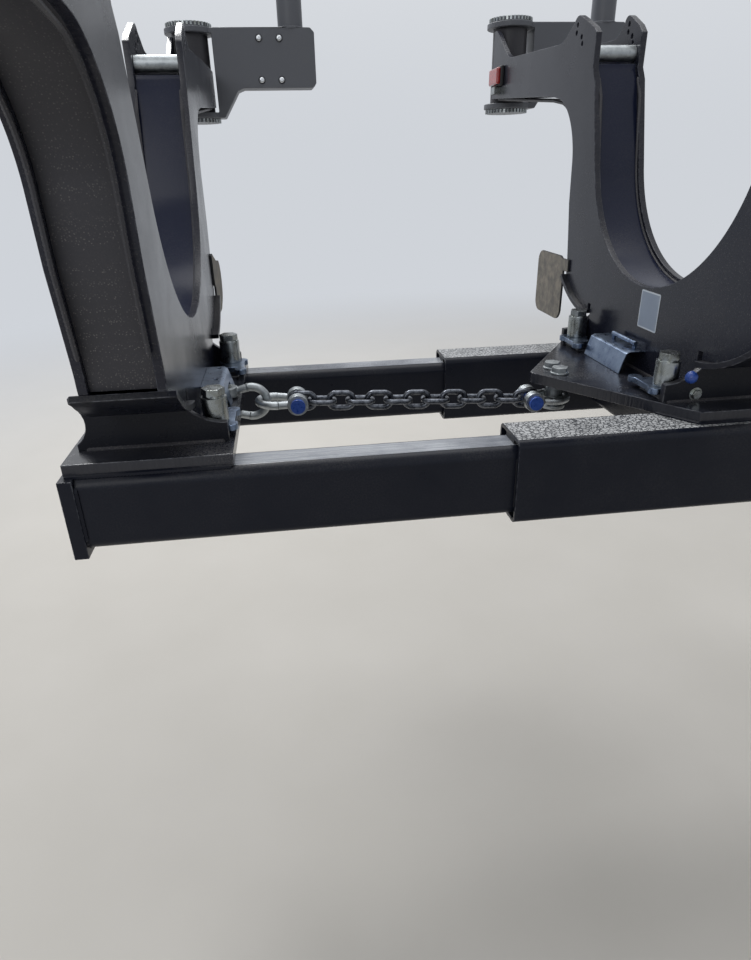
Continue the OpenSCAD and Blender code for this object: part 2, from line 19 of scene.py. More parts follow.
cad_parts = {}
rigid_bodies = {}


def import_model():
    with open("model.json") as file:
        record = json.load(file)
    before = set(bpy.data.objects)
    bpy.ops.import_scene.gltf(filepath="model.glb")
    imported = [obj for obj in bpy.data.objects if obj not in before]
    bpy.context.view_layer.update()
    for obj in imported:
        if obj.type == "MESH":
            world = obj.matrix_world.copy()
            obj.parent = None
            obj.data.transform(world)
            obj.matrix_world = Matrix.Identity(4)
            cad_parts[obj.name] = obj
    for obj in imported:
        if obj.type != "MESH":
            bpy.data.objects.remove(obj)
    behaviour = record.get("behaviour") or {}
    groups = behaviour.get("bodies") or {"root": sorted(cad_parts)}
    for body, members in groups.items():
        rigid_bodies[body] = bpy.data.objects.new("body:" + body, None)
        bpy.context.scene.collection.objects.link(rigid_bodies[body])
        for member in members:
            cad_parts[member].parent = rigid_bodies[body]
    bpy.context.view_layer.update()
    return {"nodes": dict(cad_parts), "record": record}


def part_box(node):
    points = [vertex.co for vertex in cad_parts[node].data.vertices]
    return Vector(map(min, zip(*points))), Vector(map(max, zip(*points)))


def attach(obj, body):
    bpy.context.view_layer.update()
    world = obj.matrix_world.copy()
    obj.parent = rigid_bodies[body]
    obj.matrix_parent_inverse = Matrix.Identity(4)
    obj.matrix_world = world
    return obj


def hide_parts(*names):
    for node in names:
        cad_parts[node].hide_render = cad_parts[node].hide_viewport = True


MM = 0.001
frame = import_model()
record = frame["record"]
BODY_OF = {name: body for body, names in record["behaviour"]["bodies"].items() for name in names}

# %% [markdown]
# The camera
#
# The photograph was taken at eye height beside the right rail. It looks across
# the frame, a little forwards, and 25 degrees down. These angles and the focal
# length, in pixels, were measured from the rails' vanishing lines.

# %% Camera
EYE = Vector((-1.7222, -1.4997, 0.5721))
HEADING, PITCH, ROLL = 7.146, 25.315, -1.316
FOCAL_PX, IMAGE_PX, SENSOR = 660.7, (751, 960), 36.0


def camera_axes(heading, pitch, roll):
    """The camera's right, up and forward directions, from angles in degrees."""
    h, p, r = (math.radians(a) for a in (heading, pitch, roll))
    forward = Vector((math.sin(h) * math.cos(p), math.cos(h) * math.cos(p), -math.sin(p)))
    level = Vector((math.cos(h), -math.sin(h), 0))
    upright = level.cross(forward)
    right = math.cos(r) * level + math.sin(r) * upright
    up = math.cos(r) * upright - math.sin(r) * level
    return right, up, forward


right, up, forward = camera_axes(HEADING, PITCH, ROLL)
lens = bpy.data.cameras.new("photo_camera")
lens.sensor_width = SENSOR
lens.lens = FOCAL_PX * SENSOR / max(IMAGE_PX)
camera = bpy.data.objects.new("photo_camera", lens)
camera.matrix_world = Matrix.Translation(EYE) @ Matrix((right, up, -forward)).transposed().to_4x4()
bpy.context.collection.objects.link(camera)
bpy.context.scene.camera = camera
print("lens", round(lens.lens, 2), "mm")

# %% [markdown]
# Helpers for materials
#
# A material is a small graph. One function turns the hex colours that a
# painter would write into the linear values that the renderer works with,
# and one adds a node, sets it and joins its sockets. Pattern sizes are given
# in millimetres, because the object coordinates count metres.

# %% Helpers for materials
TIMES = {"operation": "MULTIPLY"}
TIMES_PLUS = {"operation": "MULTIPLY_ADD"}
COLOURS = {"data_type": "RGBA"}
SMOOTH = {"interpolation_type": "SMOOTHSTEP"}


def linear(hex_colour):
    """The linear RGBA of an sRGB hex colour such as "20242f"."""
    channels = [int(hex_colour[i:i + 2], 16) / 255 for i in (0, 2, 4)]
    return (*[c / 12.92 if c <= 0.04045 else ((c + 0.055) / 1.055) ** 2.4 for c in channels], 1.0)


def node(tree, kind, settings=None, **links):
    """Adds a node, sets its properties and feeds its sockets from values or other sockets.

    A socket is named by its label, with _ for a space, or by i and its number.
    """
    made = tree.nodes.new(kind)
    for key, value in (settings or {}).items():
        setattr(made, key, value)
    for key, value in links.items():
        numbered = key[0] == "i" and key[1:].isdigit()
        socket = made.inputs[int(key[1:])] if numbered else made.inputs[key.replace("_", " ")]
        if isinstance(value, bpy.types.NodeSocket):
            tree.links.new(value, socket)
        else:
            socket.default_value = value
    return made


def material(name):
    """An empty material and its tree."""
    made = bpy.data.materials.new(name)
    made.use_nodes = True
    made.node_tree.nodes.clear()
    return made, made.node_tree


def per_mm(size):
    """The texture scale at which one feature is this many millimetres wide."""
    return 1000 / size


print("the sRGB grey 808080 is", round(linear("808080")[0], 3), "in linear light")

# %% [markdown]
# The floor of the studio
#
# A pale matt floor carries the frame's shadow. Far from the object it turns
# into the colour of the world, so that no horizon crosses the picture. It does
# so only for the rays of the camera and of reflections: the light on the
# object comes from the lamps and the world alone.

# %% Floor
GROUND_Z = -1.14
FLOOR_RADIUS, FADE_FROM, FADE_TO = 40.0, 3.0, 9.0
BACKDROP, ZENITH = "cfd3d9", "f0f2f4"


def looked_at(tree):
    """1 for the rays of the camera and of reflections, and 0 for those that carry light."""
    path = node(tree, "ShaderNodeLightPath")
    return node(tree, "ShaderNodeMath", {"operation": "MAXIMUM"}, i0=path.outputs["Is Camera Ray"],
                i1=path.outputs["Is Glossy Ray"]).outputs[0]


def studio_floor():
    made, tree = material("matt_studio_floor")
    place = node(tree, "ShaderNodeTexCoord").outputs["Object"]
    reach = node(tree, "ShaderNodeVectorMath", {"operation": "LENGTH"}, i0=place).outputs["Value"]
    far = node(tree, "ShaderNodeMapRange", SMOOTH, Value=reach, From_Min=FADE_FROM,
               From_Max=FADE_TO).outputs[0]
    fade = node(tree, "ShaderNodeMath", TIMES, i0=far, i1=looked_at(tree)).outputs[0]
    grain = node(tree, "ShaderNodeTexNoise", Vector=place, Scale=per_mm(400), Detail=4.0).outputs[0]
    tone = node(tree, "ShaderNodeMix", COLOURS, i0=grain, i6=linear("c4c1bb"), i7=linear("cdcac5"))
    matt = node(tree, "ShaderNodeBsdfPrincipled", Base_Color=tone.outputs[2], Roughness=0.9,
                Specular_IOR_Level=0.2)
    glow = node(tree, "ShaderNodeEmission", Color=linear(BACKDROP), Strength=1.0)
    mix = node(tree, "ShaderNodeMixShader", i0=fade, i1=matt.outputs[0], i2=glow.outputs[0])
    node(tree, "ShaderNodeOutputMaterial", Surface=mix.outputs[0])
    return made


floor = bpy.data.objects.new("floor", bpy.data.meshes.new("floor"))
bm = bmesh.new()
bmesh.ops.create_circle(bm, cap_ends=True, radius=FLOOR_RADIUS, segments=64)
bmesh.ops.translate(bm, verts=bm.verts, vec=(0, 0, GROUND_Z))
bm.to_mesh(floor.data)
bm.free()
floor.data.materials.append(studio_floor())
bpy.context.collection.objects.link(floor)
print("floor at z", GROUND_Z, "m")

# %% [markdown]
# The light
#
# The main lamp stands behind the frame, where the daylight came from, and
# large lamps keep the light soft. The world is a little brighter overhead,
# which gives bare metal something to mirror. It looks brighter than it
# shines, so that a colour renders about as it is written.

# %% Lamps and world
AIM = (-1.2, 0, 0)
WORLD_SHINES, WORLD_LOOKS = 0.4, 1.0


def facing(place, axis, own="Z"):
    """The matrix that puts a piece at a place and turns its own axis along the given one."""
    turn = Vector(axis).to_track_quat(own, "Y")
    return Matrix.Translation(place) @ turn.to_matrix().to_4x4()


def soft_lamp(name, place, size, watts):
    lamp = bpy.data.lights.new(name, "AREA")
    lamp.shape = "DISK"
    lamp.size = size
    lamp.energy = watts
    holder = bpy.data.objects.new(name, lamp)
    holder.matrix_world = facing(place, Vector(AIM) - Vector(place), "-Z")
    bpy.context.collection.objects.link(holder)


def studio_world():
    world = bpy.data.worlds.new("studio")
    world.use_nodes = True
    tree = world.node_tree
    tree.nodes.clear()
    strength = node(tree, "ShaderNodeMapRange", Value=looked_at(tree), To_Min=WORLD_SHINES,
                    To_Max=WORLD_LOOKS).outputs[0]
    way = node(tree, "ShaderNodeTexCoord").outputs["Generated"]
    height = node(tree, "ShaderNodeSeparateXYZ", Vector=way).outputs["Z"]
    climb = node(tree, "ShaderNodeMapRange", SMOOTH, Value=height, From_Max=0.7).outputs[0]
    tint = node(tree, "ShaderNodeMix", COLOURS, i0=climb, i6=linear(BACKDROP), i7=linear(ZENITH))
    backdrop = node(tree, "ShaderNodeBackground", Color=tint.outputs[2], Strength=strength)
    node(tree, "ShaderNodeOutputWorld", Surface=backdrop.outputs[0])
    return world


soft_lamp("sun_side", (-3.4, 5.2, 5.8), 2.6, 390)
soft_lamp("overhead", (-0.6, 1.5, 6.5), 5.0, 150)
soft_lamp("camera_side", (-4.5, -5.0, 3.2), 4.0, 80)
bpy.context.scene.world = studio_world()
bpy.context.scene.view_settings.view_transform = "Standard"
print(len(bpy.data.lights), "lamps")

# %% [markdown]
# Sprayed machine enamel
#
# All the structure is steel plate under one thick coat of near-black navy
# enamel, sprayed by hand. What gives that away is the faint orange peel in
# the reflections, a gloss that comes and goes in clouds, dust that lies on
# what faces up, and the dull grey where an edge has been rubbed. The dust and
# the rubbed paint are functions, and each returns the socket that says how
# strong its layer is at a point.

# %% Enamel: dust and rubbed rims
DUST, RUBBED = "87847e", "6d7078"


def settled_dust(tree, turn, clouds, grit, dust):
    """Dust settles where the surface faces up, in patches a hand wide, and is made of specks."""
    level = node(tree, "ShaderNodeMapRange", Value=turn.outputs["Z"], From_Min=-0.2, From_Max=0.9,
                 To_Min=0.12, To_Max=1.0).outputs[0]
    patch = node(tree, "ShaderNodeMapRange", Value=clouds, From_Min=0.36, From_Max=0.68).outputs[0]
    speck = node(tree, "ShaderNodeMapRange", Value=grit, From_Min=0.42, From_Max=0.66).outputs[0]
    speck = node(tree, "ShaderNodeMath", TIMES_PLUS, i0=speck, i1=0.7, i2=0.12).outputs[0]
    lying = node(tree, "ShaderNodeMath", TIMES, i0=level, i1=patch).outputs[0]
    lying = node(tree, "ShaderNodeMath", TIMES, i0=lying, i1=speck).outputs[0]
    return node(tree, "ShaderNodeMath", TIMES, i0=lying, i1=dust).outputs[0]


def rubbed_rims(tree, place):
    """The rounded rims carry an attribute, and a noise breaks them up."""
    rim = node(tree, "ShaderNodeAttribute", {"attribute_name": "rim"}).outputs["Fac"]
    chips = node(tree, "ShaderNodeTexNoise", Vector=place, Scale=per_mm(22), Detail=5.0,
                 Roughness=0.7).outputs[0]
    chips = node(tree, "ShaderNodeMapRange", Value=chips, From_Min=0.44, From_Max=0.62,
                 To_Max=0.55).outputs[0]
    return node(tree, "ShaderNodeMath", TIMES, i0=rim, i1=chips).outputs[0]


print("dust is", DUST, "and rubbed paint", RUBBED)

# %% [markdown]
# What happens to the enamel outdoors and in the workshop
#
# Drops of sandy water dry to pale specks, more of them towards the ground.
# Welding pulls a big plate out of true by a millimetre or two, which bends
# what it mirrors, and wiping leaves upright streaks. A plate that was cut
# with a flame keeps fine drag lines across its edges, and the paint only
# softens them. They are about a millimetre apart on the real plate, and are
# drawn 5 mm apart here, so that they show.

# %% Enamel: drops, waves and cut edges
DROPLET, CUT_EDGE = "8f8c89", "43434a"


def dried_drops(tree, place, splash):
    spots = node(tree, "ShaderNodeTexVoronoi", Vector=place, Scale=per_mm(3.4))
    drops = node(tree, "ShaderNodeMapRange", Value=spots.outputs["Distance"], From_Min=0.38,
                 From_Max=0.16).outputs[0]
    kept = node(tree, "ShaderNodeRGBToBW", Color=spots.outputs["Color"]).outputs[0]
    kept = node(tree, "ShaderNodeMapRange", Value=kept, From_Min=0.42, From_Max=0.8).outputs[0]
    drops = node(tree, "ShaderNodeMath", TIMES, i0=drops, i1=kept).outputs[0]
    low = node(tree, "ShaderNodeSeparateXYZ", Vector=place).outputs["Z"]
    low = node(tree, "ShaderNodeMapRange", Value=low, From_Min=0.85, From_Max=0.15, To_Min=0.15,
               To_Max=splash).outputs[0]
    return node(tree, "ShaderNodeMath", TIMES, i0=drops, i1=low).outputs[0]


def plate_waves(tree, place, bump, wavy):
    """The bump of a plate that sways by wavy millimetres and has been wiped upwards."""
    sway = node(tree, "ShaderNodeTexNoise", Vector=place, Scale=per_mm(150), Detail=1.0).outputs[0]
    bump = node(tree, "ShaderNodeBump", Strength=0.8, Distance=wavy * MM, Height=sway,
                Normal=bump).outputs[0]
    upright = node(tree, "ShaderNodeMapping", Vector=place, Scale=(1, 1, 0.03)).outputs[0]
    wiped = node(tree, "ShaderNodeTexNoise", Vector=upright, Scale=per_mm(6), Detail=3.0,
                 Roughness=0.6).outputs[0]
    return node(tree, "ShaderNodeBump", Strength=0.5, Distance=0.15 * MM, Height=wiped,
                Normal=bump).outputs[0]


def cut_lines(tree, place, turn, cut_axis):
    """Lines that run straight through the plate, on the faces that lie along cut_axis."""
    squeeze = [0.02 if axis == cut_axis else 1.0 for axis in "XYZ"]
    drawn = node(tree, "ShaderNodeMapping", Vector=place, Scale=squeeze).outputs[0]
    lines = node(tree, "ShaderNodeTexNoise", Vector=drawn, Scale=per_mm(5), Detail=1.5).outputs[0]
    across = node(tree, "ShaderNodeMath", {"operation": "ABSOLUTE"}, i0=turn.outputs[cut_axis]).outputs[0]
    edge = node(tree, "ShaderNodeMapRange", Value=across, From_Min=0.3, From_Max=0.1).outputs[0]
    return node(tree, "ShaderNodeMath", TIMES, i0=lines, i1=edge).outputs[0]


print("dried drops are", DROPLET, "and cut edges lean to", CUT_EDGE)

# %% [markdown]
# One enamel for each kind of piece
#
# The pieces were sprayed in one go, but rolled tube, thick plate and the boxes
# of the swing arms take the coat differently. So one function puts the layers
# together, and its settings give each kind of piece its tone, gloss and dirt.

# %% Enamel: the recipe


def enamel(name, colour, roughness, dust=0.3, cut_axis=None, specular=0.2, splash=0.0, wavy=0.0):
    """Enamel on plate.

    cut_axis is the direction through the plate, splash the share of dried drops, and wavy
    how far, in mm, the plate is out of true.
    """
    made, tree = material(name)
    place = node(tree, "ShaderNodeTexCoord").outputs["Object"]
    normal = node(tree, "ShaderNodeNewGeometry").outputs["Normal"]
    turn = node(tree, "ShaderNodeSeparateXYZ", Vector=normal)
    clouds = node(tree, "ShaderNodeTexNoise", Vector=place, Scale=per_mm(140), Detail=4.0,
                  Roughness=0.6).outputs[0]
    peel = node(tree, "ShaderNodeTexNoise", Vector=place, Scale=per_mm(6), Detail=1.0).outputs[0]
    grit = node(tree, "ShaderNodeTexNoise", Vector=place, Scale=per_mm(3.5), Detail=3.0,
                Roughness=0.7).outputs[0]
    lying = settled_dust(tree, turn, clouds, grit, dust)
    base = node(tree, "ShaderNodeMix", COLOURS, i0=lying, i6=linear(colour), i7=linear(DUST)).outputs[2]
    base = node(tree, "ShaderNodeMix", COLOURS, i0=rubbed_rims(tree, place), i6=base,
                i7=linear(RUBBED)).outputs[2]
    if splash:
        base = node(tree, "ShaderNodeMix", COLOURS, i0=dried_drops(tree, place, splash), i6=base,
                    i7=linear(DROPLET)).outputs[2]
    gloss = node(tree, "ShaderNodeMapRange", Value=clouds, From_Min=0.3, From_Max=0.7,
                 To_Min=roughness * 0.8, To_Max=roughness * 1.25).outputs[0]
    gloss = node(tree, "ShaderNodeMath", {"operation": "MULTIPLY_ADD", "use_clamp": True}, i0=lying, i1=0.5,
                 i2=gloss).outputs[0]
    bump = node(tree, "ShaderNodeBump", Strength=0.35, Distance=0.2 * MM, Height=peel).outputs[0]
    bump = node(tree, "ShaderNodeBump", Strength=0.25, Distance=0.3 * MM, Height=grit,
                Normal=bump).outputs[0]
    if wavy:
        bump = plate_waves(tree, place, bump, wavy)
    if cut_axis:
        lines = cut_lines(tree, place, turn, cut_axis)
        bump = node(tree, "ShaderNodeBump", Strength=0.8, Distance=0.6 * MM, Height=lines,
                    Normal=bump).outputs[0]
        pale = node(tree, "ShaderNodeMath", TIMES, i0=lines, i1=0.4).outputs[0]
        base = node(tree, "ShaderNodeMix", COLOURS, i0=pale, i6=base, i7=linear(CUT_EDGE)).outputs[2]
    shader = node(tree, "ShaderNodeBsdfPrincipled", Base_Color=base, Roughness=gloss, Normal=bump,
                  Specular_IOR_Level=specular)
    node(tree, "ShaderNodeOutputMaterial", Surface=shader.outputs[0])
    return made


layers = (settled_dust, rubbed_rims, dried_drops, plate_waves, cut_lines)
print("layers of a coat:", ", ".join(layer.__name__ for layer in layers))

# %% [markdown]
# The coats
#
# The rails' tube is smooth and took a thin, even coat, which looks satin. On
# thick plate the coat flowed out, so the beds and the bunks' plates shine
# like dull mirrors. The outer webs and the pivots are dull, with grey dust
# ground into the paint, and the arms have a rougher and greyer coat. The
# cradle's web is the glossiest of all, and the bluest.

# %% Enamel: the coats
RAIL_ENAMEL = enamel("rail_navy_enamel", "151925", 0.32, dust=0.2)
BED_ENAMEL = enamel("bed_navy_enamel", "181c28", 0.20, dust=0.35, cut_axis="Z", specular=0.5)
BUNK_ENAMEL = enamel("bunk_navy_enamel", "1a1d2a", 0.22, cut_axis="X", specular=0.27, splash=0.25, wavy=1.5)
PLAIN_ENAMEL = enamel("bunk_web_navy_enamel", "444449", 0.36, dust=0.35, splash=0.7)
FOOT_ENAMEL = enamel("foot_navy_enamel", "11141e", 0.28, cut_axis="Y")
WEB_ENAMEL = enamel("cradle_gloss_navy_enamel", "1b2138", 0.18, dust=0.15)
ARM_ENAMEL = enamel("arm_grey_black_enamel", "63666d", 0.42, splash=0.2, specular=0.3)
print(len([m for m in bpy.data.materials if m.name.endswith("enamel")]), "enamels")

# %% [markdown]
# The polished tops of the inner rails
#
# Each time the frame slides, the outer rail's pad wipes the top of the inner
# rail lengthwise and polishes the enamel in streaks. Their pale, near-white
# colour is partly that polish and partly a painted sheen, a reflection put into
# the top's colour. The pattern is a noise that a Mapping node draws out along
# the rail.

# %% Polished enamel


def slid_enamel():
    made, tree = material("polished_rail_top_enamel")
    place = node(tree, "ShaderNodeTexCoord").outputs["Object"]
    drawn = node(tree, "ShaderNodeMapping", Vector=place, Scale=(0.015, 1, 1)).outputs[0]
    lines = node(tree, "ShaderNodeTexNoise", Vector=drawn, Scale=per_mm(3), Detail=4.0,
                 Roughness=0.7).outputs[0]
    wear_and_sheen = node(tree, "ShaderNodeTexNoise", Vector=place, Scale=per_mm(180), Detail=4.0).outputs[0]
    wear_and_sheen = node(tree, "ShaderNodeMapRange", Value=wear_and_sheen, From_Min=0.35, From_Max=0.6).outputs[0]
    pale = node(tree, "ShaderNodeMath", TIMES, i0=wear_and_sheen, i1=lines).outputs[0]
    # pale streaks: partly polish, partly painted sheen in the colour
    base = node(tree, "ShaderNodeMix", COLOURS, i0=pale, i6=linear("484e5b"), i7=linear("d2d6dc"))
    gloss = node(tree, "ShaderNodeMapRange", Value=lines, From_Min=0.3, From_Max=0.7, To_Min=0.16,
                 To_Max=0.34).outputs[0]
    bump = node(tree, "ShaderNodeBump", Strength=0.3, Distance=0.1 * MM, Height=lines).outputs[0]
    shader = node(tree, "ShaderNodeBsdfPrincipled", Base_Color=base.outputs[2], Roughness=gloss,
                  Normal=bump, Specular_IOR_Level=0.8)
    node(tree, "ShaderNodeOutputMaterial", Surface=shader.outputs[0])
    return made


SLID_ENAMEL = slid_enamel()
print(SLID_ENAMEL.name)

# %% [markdown]
# Anti-slip top of the outer rails
#
# The outer rails are stepped on, so their tops carry a coarse crazed coating.
# Cells of about 9 mm stand half a millimetre proud, and dark joints part them.
# The cells' crowns are painted pale grey in patches: partly dust, and mostly a
# painted glint, the light that glossy cells catch, put into their colour. A
# Voronoi texture's distance to its edges gives such cells, and a noise that
# bends its coordinates keeps them from looking cut with a knife.

# %% Anti-slip coating


def antislip():
    made, tree = material("crazed_antislip_dust_and_painted_glint")
    place = node(tree, "ShaderNodeTexCoord").outputs["Object"]
    stir = node(tree, "ShaderNodeTexNoise", Vector=place, Scale=per_mm(14), Detail=3.0).outputs["Color"]
    bent = node(tree, "ShaderNodeMix", {"data_type": "VECTOR"}, i0=0.006, i4=place, i5=stir).outputs[1]
    cells = node(tree, "ShaderNodeTexVoronoi", {"feature": "DISTANCE_TO_EDGE"}, Vector=bent,
                 Scale=per_mm(9)).outputs[0]
    crown = node(tree, "ShaderNodeMapRange", SMOOTH, Value=cells, From_Max=0.2).outputs[0]
    wear_and_sheen = node(tree, "ShaderNodeTexNoise", Vector=place, Scale=per_mm(60), Detail=5.0,
                Roughness=0.65).outputs[0]
    wear_and_sheen = node(tree, "ShaderNodeMapRange", Value=wear_and_sheen, From_Min=0.25, From_Max=0.5,
                To_Min=0.3).outputs[0]
    # pale crowns: partly dust, mostly a painted glint in the coating's colour
    pale = node(tree, "ShaderNodeMath", TIMES, i0=crown, i1=wear_and_sheen).outputs[0]
    base = node(tree, "ShaderNodeMix", COLOURS, i0=pale, i6=linear("36383d"), i7=linear("c2c4c6"))
    bump = node(tree, "ShaderNodeBump", Strength=0.9, Distance=0.6 * MM, Height=crown).outputs[0]
    shader = node(tree, "ShaderNodeBsdfPrincipled", Base_Color=base.outputs[2], Roughness=0.3,
                  Normal=bump, Specular_IOR_Level=0.5)
    node(tree, "ShaderNodeOutputMaterial", Surface=shader.outputs[0])
    return made


ANTISLIP_WITH_PAINTED_GLINT = antislip()
print(ANTISLIP_WITH_PAINTED_GLINT.name)

# %% [markdown]
# Bare metals
#
# The clamp bolts, the ring nuts and the small brackets are zinc plated with the
# yellow passivation, which clouds the pale grey. The clamps and covers are zinc
# plated as well, and their blue-grey is a painted reflection of a blue sky.
# The shackles, the spool and the cross pins are hot-dip galvanised, duller and
# mottled by the zinc's crystals. The arms' bolts are newer and nearly white,
# and the chain is heat treated and dark blue-grey.

# %% Metals


def bare_metal(name, dark, light, roughness, cloud_mm, spangle=False):
    """A metal whose tone drifts between dark and light in clouds, with fine stains."""
    made, tree = material(name)
    place = node(tree, "ShaderNodeTexCoord").outputs["Object"]
    cloud = node(tree, "ShaderNodeTexNoise", Vector=place, Scale=per_mm(cloud_mm), Detail=5.0,
                 Roughness=0.65).outputs[0]
    cloud = node(tree, "ShaderNodeMapRange", Value=cloud, From_Min=0.3, From_Max=0.7).outputs[0]
    if spangle:
        crystal = node(tree, "ShaderNodeTexVoronoi", Vector=place, Scale=per_mm(7)).outputs["Color"]
        crystal = node(tree, "ShaderNodeRGBToBW", Color=crystal).outputs[0]
        cloud = node(tree, "ShaderNodeMix", {"data_type": "FLOAT"}, i0=0.55, i2=cloud,
                     i3=crystal).outputs[0]
    fine = node(tree, "ShaderNodeTexNoise", Vector=place, Scale=per_mm(1.6), Detail=3.0).outputs[0]
    base = node(tree, "ShaderNodeMix", COLOURS, i0=cloud, i6=linear(dark), i7=linear(light)).outputs[2]
    stain = node(tree, "ShaderNodeMapRange", Value=fine, From_Min=0.62, From_Max=0.78,
                 To_Max=0.5).outputs[0]
    base = node(tree, "ShaderNodeMix", COLOURS, i0=stain, i6=base, i7=linear("4e4c48")).outputs[2]
    gloss = node(tree, "ShaderNodeMapRange", Value=cloud, To_Min=roughness * 0.75,
                 To_Max=roughness * 1.3).outputs[0]
    bump = node(tree, "ShaderNodeBump", Strength=0.4, Distance=0.15 * MM, Height=fine).outputs[0]
    shader = node(tree, "ShaderNodeBsdfPrincipled", Base_Color=base, Metallic=1.0, Roughness=gloss,
                  Normal=bump)
    node(tree, "ShaderNodeOutputMaterial", Surface=shader.outputs[0])
    return made


ZINC = bare_metal("yellow_passivated_zinc", "7f8179", "a9afb3", 0.27, 25)
# blue-grey tones: a painted reflection of a blue sky on plain zinc
ZINC_PAINTED_SKY_BLUE = bare_metal("zinc_with_painted_blue_reflection", "55647d", "8b99ad", 0.30, 34)
BRIGHT_ZINC = bare_metal("bright_zinc_plated_steel", "c2c6ca", "dfe2e5", 0.38, 20)
GALVANISED = bare_metal("hot_dip_galvanised_steel", "83888c", "b9bec0", 0.42, 18, spangle=True)
CHAIN_STEEL = bare_metal("heat_blued_chain_steel", "22252d", "747880", 0.30, 9)
metals = (ZINC, ZINC_PAINTED_SKY_BLUE, BRIGHT_ZINC, GALVANISED, CHAIN_STEEL)
print("metals:", ", ".join(m.name for m in metals))

# %% [markdown]
# Enamelled, moulded and printed parts
#
# Two of the shackles' pins are enamelled blue. The wear pads are black cast
# nylon, the lamps' housings and the panels' rims black rubber, and the marker
# panels matt sheet under a spatter of dried mud. The blank label is a thin
# film. All of them are one recipe: a colour that drifts between two tones.

# %% Moulded finishes


def moulded(name, colour, second, roughness, blotch_mm, fine_mm, bump_mm, threshold=(0.35, 0.65)):
    """A non-metal whose colour drifts between two tones in blotches."""
    made, tree = material(name)
    place = node(tree, "ShaderNodeTexCoord").outputs["Object"]
    blotch = node(tree, "ShaderNodeTexNoise", Vector=place, Scale=per_mm(blotch_mm), Detail=5.0,
                  Roughness=0.65).outputs[0]
    blotch = node(tree, "ShaderNodeMapRange", Value=blotch, From_Min=threshold[0],
                  From_Max=threshold[1]).outputs[0]
    fine = node(tree, "ShaderNodeTexNoise", Vector=place, Scale=per_mm(fine_mm), Detail=2.0).outputs[0]
    base = node(tree, "ShaderNodeMix", COLOURS, i0=blotch, i6=linear(colour), i7=linear(second))
    gloss = node(tree, "ShaderNodeMapRange", Value=blotch, To_Min=roughness * 0.85,
                 To_Max=min(1, roughness * 1.3)).outputs[0]
    bump = node(tree, "ShaderNodeBump", Strength=0.5, Distance=bump_mm * MM, Height=fine).outputs[0]
    shader = node(tree, "ShaderNodeBsdfPrincipled", Base_Color=base.outputs[2], Roughness=gloss,
                  Normal=bump)
    node(tree, "ShaderNodeOutputMaterial", Surface=shader.outputs[0])
    return made


BLUE_ENAMEL = moulded("blue_pin_enamel", "2a4a9c", "3f62b8", 0.3, 8, 2.0, 0.1)
NYLON = moulded("black_cast_nylon", "232427", "303236", 0.5, 30, 2.0, 0.15)
MUDDY_SHEET = moulded("muddy_matt_sheet", "5d5b58", "87827a", 0.8, 28, 2.5, 0.4, (0.38, 0.62))
RUBBER = moulded("black_rubber", "17181a", "26272a", 0.6, 20, 1.5, 0.2)
LABEL_FILM = moulded("blank_label_film", "7f8da2", "8b98ab", 0.35, 60, 1.2, 0.03)
LABEL_EDGE = moulded("pale_label_border", "ccd3dc", "bcc5d0", 0.4, 40, 1.2, 0.03)
moulded_finishes = (BLUE_ENAMEL, NYLON, MUDDY_SHEET, RUBBER, LABEL_FILM, LABEL_EDGE)
print("painted, moulded and printed:", ", ".join(m.name for m in moulded_finishes))

# %% [markdown]
# Lamp lenses
#
# The lenses are red acrylic under a clear coat, and inside them small square
# prisms throw light back. A Voronoi texture without randomness and with a
# square distance draws such prisms, 5 mm apart.

# %% Lens acrylic


def lens_acrylic():
    made, tree = material("red_lens_acrylic")
    place = node(tree, "ShaderNodeTexCoord").outputs["Object"]
    prisms = node(tree, "ShaderNodeTexVoronoi", {"distance": "CHEBYCHEV"}, Vector=place,
                  Scale=per_mm(5), Randomness=0.0).outputs[0]
    base = node(tree, "ShaderNodeMix", COLOURS, i0=prisms, i6=linear("b3201c"), i7=linear("6e0d0c"))
    bump = node(tree, "ShaderNodeBump", Strength=0.7, Distance=1.0 * MM, Height=prisms).outputs[0]
    shader = node(tree, "ShaderNodeBsdfPrincipled", Base_Color=base.outputs[2], Roughness=0.12,
                  Normal=bump, IOR=1.49, Coat_Weight=0.6, Coat_Roughness=0.05)
    node(tree, "ShaderNodeOutputMaterial", Surface=shader.outputs[0])
    return made


RED_LENS = lens_acrylic()
print(len(bpy.data.materials), "materials")

# %% [markdown]
# From a bmesh to a finished piece
#
# Every piece ends in the same way. Its faces are shaded smooth, except where
# two of them meet at more than 38 degrees, and weighted normals keep its
# broad faces flat. Then it gets its material and the body that it rides on.
# A piece that stands in for CAD nodes hides them.

# %% Finishing a piece
SHARP = 38


def finished(name, bm, finish, body, node_names=()):
    """Makes a piece of a bmesh: smooth faces, weighted normals, its material and body."""
    for face in bm.faces:
        face.smooth = True
    for edge in bm.edges:
        edge.smooth = len(edge.link_faces) == 2 and edge.calc_face_angle() < math.radians(SHARP)
    piece = bpy.data.objects.new(name, bpy.data.meshes.new(name))
    bm.to_mesh(piece.data)
    bm.free()
    for coat in finish if isinstance(finish, (list, tuple)) else [finish]:
        piece.data.materials.append(coat)
    weigh = piece.modifiers.new("weighted_normals", "WEIGHTED_NORMAL")
    weigh.keep_sharp = True
    bpy.context.collection.objects.link(piece)
    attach(piece, body)
    if node_names:
        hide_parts(*node_names)
    return piece


print("faces that meet at more than", SHARP, "degrees keep a sharp edge")

# %% [markdown]
# Rounded edges
#
# A cut plate never has a perfectly sharp edge: grinding and a thick coat of
# paint round it by a millimetre or two, and that rim is what catches the
# light. The CAD nodes keep their shapes. Each is copied, its loose triangles
# are joined into whole faces again, its sharp edges are bevelled, and the
# copy stands in for the node. The new rim faces are marked, so that the paint
# knows where it is rubbed.

# %% Dressing a node


